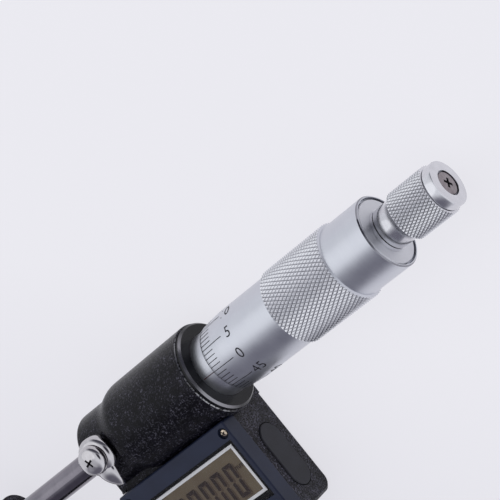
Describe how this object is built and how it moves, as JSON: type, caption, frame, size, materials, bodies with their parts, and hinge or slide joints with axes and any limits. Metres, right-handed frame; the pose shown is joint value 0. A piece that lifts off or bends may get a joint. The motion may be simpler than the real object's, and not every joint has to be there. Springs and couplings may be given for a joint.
{
  "type": "digital micrometer",
  "caption": "Digital outside micrometer with a C-shaped cast frame, display housing, spindle lock, graduated sleeve, knurled thimble and ratchet stop.",
  "frame": {"origin": "point on the spindle's axis where the two measuring faces meet when the tool is closed", "axes": "+X along the spindle from the measuring faces to the ratchet, +Z the outward normal of the display, +Y from the display towards the spindle's axis"},
  "size_m": [0.1655, 0.0509, 0.0259],
  "materials": {
    "casting": "black hammertone paint",
    "ground_steel": "ground",
    "carbide": "lapped",
    "satin_chrome": "satin",
    "bright_chrome": "polished",
    "turned_steel": "turned",
    "black_steel": "blackened",
    "brass": "machined",
    "gilt": "plated",
    "spring_steel": "drawn",
    "cover_plastic": "moulded",
    "black_plastic": "moulded",
    "white_plastic": "moulded",
    "clear_plastic": "clear",
    "display_glass": "liquid crystal",
    "board": "glass fibre",
    "disc_board": "glass fibre",
    "film": "polyimide film",
    "cell_can": "nickel plated",
    "rubber": "moulded",
    "seal_rubber": "moulded"
  },
  "bodies": {
    "frame": {"frame": "casting", "anvil": "ground_steel", "anvil_tip": "carbide", "lock_shoe": "brass", "encoder_stator": "disc_board", "rotor_washer": "spring_steel", "encoder_ribbon": "film", "collar_ring": "black_steel", "thread_sleeve": "turned_steel", "graduated_sleeve": "satin_chrome", "adjusting_nut": "brass", "display_cover": "cover_plastic", "display_mask": "black_plastic", "display_window": "clear_plastic", "lcd_holder": "white_plastic", "lcd_panel": "display_glass", "cover_screws": "gilt", "circuit_board": "board", "switch_domes": "black_plastic", "battery": "cell_can", "battery_contact": "gilt", "data_connector": "black_plastic"},
    "encoder_rotor": {"encoder_rotor": "disc_board", "rotor_hub": "brass"},
    "spindle": {"spindle": "ground_steel", "spindle_tip": "carbide", "thimble": "satin_chrome", "thimble_hub": "turned_steel", "ratchet_stem": "satin_chrome", "click_wheel": "turned_steel", "ratchet_screw": "black_steel"},
    "ratchet_knob": {"ratchet_knob": "satin_chrome", "pawl_ring": "turned_steel", "ratchet_spring": "spring_steel"},
    "lock_lever": {"lock_lever": "bright_chrome", "lock_stud": "turned_steel", "lock_screw": "bright_chrome"},
    "button_left": {"button_left": "rubber"},
    "button_middle": {"button_middle": "rubber"},
    "button_right": {"button_right": "rubber"},
    "data_plug": {"data_plug": "rubber"},
    "battery_gasket": {"battery_gasket": "seal_rubber"},
    "battery_cap": {"battery_cap": "black_plastic"}
  },
  "joints": [
    {"name": "thimble_turn", "type": "hinge", "parent": "frame", "child": "encoder_rotor", "pos_m": [0.0576, 0, 0], "axis": [1, 0, 0], "range_deg": [0, 18000]},
    {"name": "spindle_travel", "type": "slide", "parent": "encoder_rotor", "child": "spindle", "axis": [1, 0, 0], "range_m": [0, 0.025]},
    {"name": "ratchet_turn", "type": "hinge", "parent": "spindle", "child": "ratchet_knob", "pos_m": [0.138, 0, 0], "axis": [1, 0, 0], "continuous": true},
    {"name": "lock_turn", "type": "hinge", "parent": "frame", "child": "lock_lever", "pos_m": [0.03475, 0.0006, 0.0091], "axis": [0, 0, -1], "range_deg": [0, 60]},
    {"name": "button_left_press", "type": "slide", "parent": "frame", "child": "button_left", "axis": [0, 0, -1], "range_m": [0, 0.0005], "stiffness_N_per_m": 200, "springref_m": -0.0003},
    {"name": "button_middle_press", "type": "slide", "parent": "frame", "child": "button_middle", "axis": [0, 0, -1], "range_m": [0, 0.0005], "stiffness_N_per_m": 200, "springref_m": -0.0003},
    {"name": "button_right_press", "type": "slide", "parent": "frame", "child": "button_right", "axis": [0, 0, -1], "range_m": [0, 0.0005], "stiffness_N_per_m": 200, "springref_m": -0.0003},
    {"name": "plug_pull", "type": "slide", "parent": "frame", "child": "data_plug", "axis": [1, 0, 0], "range_m": [0, 0.008]},
    {"name": "cap_rise", "type": "slide", "parent": "frame", "child": "battery_gasket", "axis": [0, 0, -1], "range_m": [0, 0.002]},
    {"name": "cap_turn", "type": "hinge", "parent": "battery_gasket", "child": "battery_cap", "pos_m": [0.0395, -0.026, -0.0118], "axis": [0, 0, -1], "range_deg": [0, 1440]}
  ],
  "couplings": [
    {"joint": "thimble_turn", "follows": "spindle_travel", "rad_per_m": 12566},
    {"joint": "cap_turn", "follows": "cap_rise", "rad_per_m": 12566}
  ]
}
